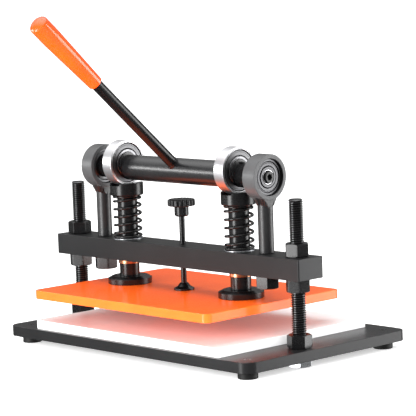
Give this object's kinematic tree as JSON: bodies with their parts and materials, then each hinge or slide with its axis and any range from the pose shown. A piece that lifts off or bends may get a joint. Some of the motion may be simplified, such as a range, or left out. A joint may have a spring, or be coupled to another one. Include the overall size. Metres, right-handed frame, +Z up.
{
  "type": "manual die cutting press",
  "caption": "Tabletop lever press: an eccentric shaft on a crossbeam drives two sprung plungers and an orange plate down onto a white board.",
  "frame": {"origin": "on the press's middle plane and on the plane the feet stand on, halfway between the tip of the raised lever and the back edge of the base", "axes": "+X along the crossbeam, to the right for a user who stands on the -Y side and pulls the lever; +Y away from the user, +Z up"},
  "size_m": [0.4, 0.3562, 0.3844],
  "materials": {
    "powder_coat": "satin dark grey powder coat",
    "black_oxide": "black oxide, lightly oiled",
    "chrome": "polished bearing steel",
    "bearing_steel": "ground bearing steel",
    "zinc": "zinc plated",
    "bronze": "machined bronze",
    "orange_enamel": "glossy orange enamel on steel",
    "orange_vinyl": "glossy dipped vinyl",
    "white_board": "smooth white polyethylene",
    "black_rubber": "matte",
    "black_plastic": "satin moulded"
  },
  "bodies": {
    "base": {"base_plate": "powder_coat", "cutting_board": "white_board", "rubber_feet": "black_rubber", "foot_screws": "black_oxide", "foot_nuts": "zinc", "left_column": "black_oxide", "right_column": "black_oxide", "base_nuts": "black_oxide", "bottom_nuts": "zinc"},
    "head": {"crossbeam": "powder_coat", "left_post": "powder_coat", "right_post": "powder_coat", "left_bearing_housing": "powder_coat", "right_bearing_housing": "powder_coat", "upper_nuts": "black_oxide", "lower_nuts": "black_oxide", "post_nuts": "black_oxide", "left_guide_bush": "bronze", "right_guide_bush": "bronze", "spring_washers": "zinc", "left_return_spring": "black_oxide", "right_return_spring": "black_oxide", "left_shaft_bearing_ring": "bearing_steel", "right_shaft_bearing_ring": "bearing_steel", "left_shaft_bearing_balls": "bearing_steel", "right_shaft_bearing_balls": "bearing_steel", "left_shaft_bearing_shields": "bearing_steel", "right_shaft_bearing_shields": "bearing_steel"},
    "lever_shaft": {"eccentric_shaft": "black_oxide", "left_shaft_hub": "black_oxide", "right_shaft_hub": "black_oxide", "lever_rod": "black_oxide", "lever_grip": "orange_vinyl", "shaft_bearing_inner_rings": "bearing_steel", "roller_inner_rings": "bearing_steel", "shaft_end_screws": "black_oxide"},
    "left_roller": {"left_roller": "chrome", "left_roller_balls": "bearing_steel", "left_roller_shields": "bearing_steel"},
    "right_roller": {"right_roller": "chrome", "right_roller_balls": "bearing_steel", "right_roller_shields": "bearing_steel"},
    "press": {"left_plunger": "black_oxide", "right_plunger": "black_oxide", "left_foot_flange": "black_oxide", "right_foot_flange": "black_oxide", "press_plate": "orange_enamel", "plate_screws": "zinc", "centre_foot": "black_oxide"},
    "knob_screw": {"centre_rod": "black_oxide", "star_knob": "black_plastic"}
  },
  "joints": [
    {"name": "head_adjust", "type": "slide", "parent": "base", "child": "head", "axis": [0, 0, 1], "range_m": [-0.012, 0.03]},
    {"name": "lever_swing", "type": "hinge", "parent": "head", "child": "lever_shaft", "pos_m": [0, 0.026, 0.20275], "axis": [1, 0, 0], "range_deg": [0, 80]},
    {"name": "left_roller_spin", "type": "hinge", "parent": "lever_shaft", "child": "left_roller", "pos_m": [-0.0925, 0.02248, 0.20839], "axis": [1, 0, 0], "continuous": true},
    {"name": "right_roller_spin", "type": "hinge", "parent": "lever_shaft", "child": "right_roller", "pos_m": [0.0925, 0.02248, 0.20839], "axis": [1, 0, 0], "continuous": true},
    {"name": "press_stroke", "type": "slide", "parent": "head", "child": "press", "axis": [0, 0, -1], "range_m": [0, 0.0082], "stiffness_N_per_m": 16000, "springref_m": -0.012, "deforming": ["left_return_spring", "right_return_spring"]},
    {"name": "knob_turn", "type": "hinge", "parent": "press", "child": "knob_screw", "pos_m": [0, 0.026, 0.1672], "axis": [0, 0, 1], "continuous": true}
  ],
  "couplings": [
    {"joint": "press_stroke", "follows": "lever_swing", "m_per_rad": 0.00582}
  ]
}
